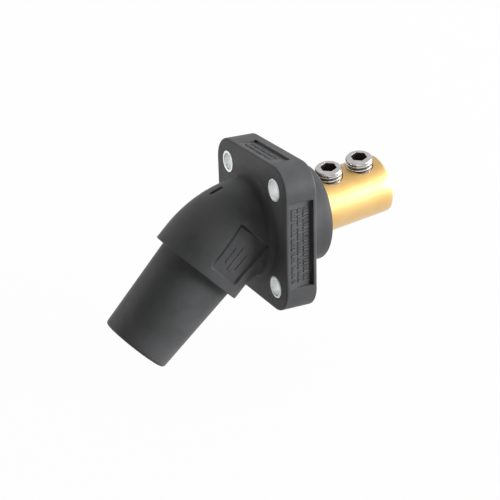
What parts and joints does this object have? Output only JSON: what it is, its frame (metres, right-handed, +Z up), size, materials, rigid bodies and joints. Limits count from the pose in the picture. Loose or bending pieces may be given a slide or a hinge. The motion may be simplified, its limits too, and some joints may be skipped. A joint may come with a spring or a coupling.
{
  "type": "angled panel receptacle",
  "caption": "Square-flanged panel receptacle whose insulated nose turns down at an angle, with a brass cable barrel and set screws behind the panel.",
  "frame": {"origin": "centre of the flange's rear face, which lies on the panel", "axes": "+Y through the panel towards the cable barrel, +Z up, so the nose points to -Y and down"},
  "size_m": [0.0636, 0.1306, 0.0861],
  "materials": {
    "moulded_rubber": "matte moulded",
    "turned_brass": "satin turned",
    "bright_steel": "bright",
    "plated_bush": "satin"
  },
  "bodies": {
    "receptacle": {"housing": "moulded_rubber", "nose_sleeve": "moulded_rubber", "cable_barrel": "turned_brass", "female_contact": "turned_brass", "contact_screw": "bright_steel", "lock_washer": "bright_steel", "cam_pin": "bright_steel", "mounting_bush_1": "plated_bush", "mounting_bush_2": "plated_bush", "mounting_bush_3": "plated_bush", "mounting_bush_4": "plated_bush"},
    "upper_set_screw_1": {"set_screw_1": "bright_steel"},
    "upper_set_screw_2": {"set_screw_2": "bright_steel"}
  },
  "joints": [
    {"name": "set_screw_1_travel", "type": "slide", "parent": "receptacle", "child": "upper_set_screw_1", "axis": [0.1959, -0.1365, 0.9711], "range_m": [-0.006, 0.0033]},
    {"name": "set_screw_2_travel", "type": "slide", "parent": "receptacle", "child": "upper_set_screw_2", "axis": [0.1959, -0.1365, 0.9711], "range_m": [-0.006, 0.0033]}
  ]
}
